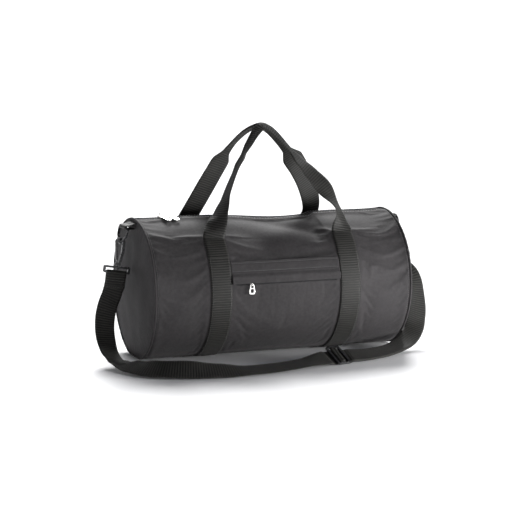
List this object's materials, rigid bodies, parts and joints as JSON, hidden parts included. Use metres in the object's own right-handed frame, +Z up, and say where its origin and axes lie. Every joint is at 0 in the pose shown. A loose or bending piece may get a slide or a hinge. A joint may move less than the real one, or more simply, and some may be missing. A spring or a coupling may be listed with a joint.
{
  "type": "duffel bag",
  "caption": "Barrel duffel bag in dark fabric with zipped top, front zip pocket, webbing carrying handles and a clip-on adjustable shoulder strap.",
  "frame": {"origin": "on the ground, under the middle of the bag", "axes": "+X along the barrel to its right end, -Y to the front with the pocket, +Z up"},
  "size_m": [0.6283, 0.362, 0.4313],
  "materials": {
    "fabric": "coated woven polyester, matt",
    "webbing": "ribbed polypropylene webbing",
    "zip_tape": "woven zip tape",
    "zip_coil": "nylon coil",
    "nickel": "bright nickel plate",
    "black_plastic": "moulded acetal, satin"
  },
  "bodies": {
    "bag": {"body_panel": "fabric", "end_panel_left": "fabric", "end_panel_right": "fabric", "seam_binding_left": "fabric", "seam_binding_right": "fabric", "pocket_flap": "fabric", "pocket_lining": "fabric", "carrying_strap_left": "webbing", "carrying_strap_right": "webbing", "ring_tab_left": "webbing", "ring_tab_right": "webbing", "shoulder_strap": "webbing", "main_zip_tape_front": "zip_tape", "main_zip_tape_rear": "zip_tape", "pocket_zip_tape_lower": "zip_tape", "pocket_zip_tape_upper": "zip_tape", "main_zip_coil_front": "zip_coil", "main_zip_coil_rear": "zip_coil", "pocket_zip_coil_lower": "zip_coil", "pocket_zip_coil_upper": "zip_coil", "strap_loop_left": "black_plastic", "strap_loop_right": "black_plastic", "strap_adjuster": "black_plastic"},
    "front_handle": {"front_handle": "webbing"},
    "rear_handle": {"rear_handle": "webbing"},
    "main_slider_left": {"main_slider_left": "nickel"},
    "main_slider_right": {"main_slider_right": "nickel"},
    "pocket_slider": {"pocket_slider": "nickel"},
    "main_pull_left": {"main_pull_left": "nickel"},
    "main_pull_right": {"main_pull_right": "nickel"},
    "pocket_pull": {"pocket_pull": "nickel"},
    "d_ring_left": {"d_ring_left": "black_plastic"},
    "hook_left": {"hook_left": "black_plastic"},
    "gate_left": {"gate_left": "black_plastic"},
    "d_ring_right": {"d_ring_right": "black_plastic"},
    "hook_right": {"hook_right": "black_plastic"},
    "gate_right": {"gate_right": "black_plastic"}
  },
  "joints": [
    {"name": "front_handle_fold", "type": "hinge", "parent": "bag", "child": "front_handle", "pos_m": [0, -0.0853, 0.2293], "axis": [1, 0, 0], "range_deg": [0, 140]},
    {"name": "rear_handle_fold", "type": "hinge", "parent": "bag", "child": "rear_handle", "pos_m": [0, 0.0853, 0.2293], "axis": [-1, 0, 0], "range_deg": [0, 140]},
    {"name": "main_slider_left_slide", "type": "slide", "parent": "bag", "child": "main_slider_left", "axis": [1, 0, 0], "range_m": [-0.034, 0]},
    {"name": "main_slider_right_slide", "type": "slide", "parent": "bag", "child": "main_slider_right", "axis": [1, 0, 0], "range_m": [0, 0.415]},
    {"name": "pocket_slider_slide", "type": "slide", "parent": "bag", "child": "pocket_slider", "axis": [1, 0, 0], "range_m": [-0.02, 0.155]},
    {"name": "main_pull_left_swing", "type": "hinge", "parent": "main_slider_left", "child": "main_pull_left", "pos_m": [-0.199, 0, 0.26195], "axis": [-0.9659, -0.2588, 0], "range_deg": [0, 150]},
    {"name": "main_pull_right_swing", "type": "hinge", "parent": "main_slider_right", "child": "main_pull_right", "pos_m": [-0.1835, 0, 0.26195], "axis": [-0.9659, -0.2588, 0], "range_deg": [0, 150]},
    {"name": "pocket_pull_swing", "type": "hinge", "parent": "pocket_slider", "child": "pocket_pull", "pos_m": [-0.069, -0.1329, 0.14404], "axis": [-1, 0, 0], "range_deg": [0, 140]},
    {"name": "d_ring_left_swing", "type": "hinge", "parent": "bag", "child": "d_ring_left", "pos_m": [-0.268, 0, 0.243], "axis": [0, 1, 0], "range_deg": [-1.5, 1.5]},
    {"name": "hook_left_swivel", "type": "hinge", "parent": "bag", "child": "hook_left", "pos_m": [-0.2758, 0, 0.21388], "axis": [0.1478, 0, 0.989], "range_deg": [-8, 8]},
    {"name": "gate_left_press", "type": "hinge", "parent": "hook_left", "child": "gate_left", "pos_m": [-0.2832, 0, 0.18465], "axis": [0, 1, 0], "range_deg": [0, 4.5], "stiffness_Nm_per_rad": 0.02},
    {"name": "d_ring_right_swing", "type": "hinge", "parent": "bag", "child": "d_ring_right", "pos_m": [0.268, 0, 0.243], "axis": [0, 1, 0], "range_deg": [-1.5, 1.5]},
    {"name": "hook_right_swivel", "type": "hinge", "parent": "bag", "child": "hook_right", "pos_m": [0.2758, 0, 0.21388], "axis": [-0.1478, 0, 0.989], "range_deg": [-8, 8]},
    {"name": "gate_right_press", "type": "hinge", "parent": "hook_right", "child": "gate_right", "pos_m": [0.2832, 0, 0.18465], "axis": [0, -1, 0], "range_deg": [0, 4.5], "stiffness_Nm_per_rad": 0.02}
  ]
}
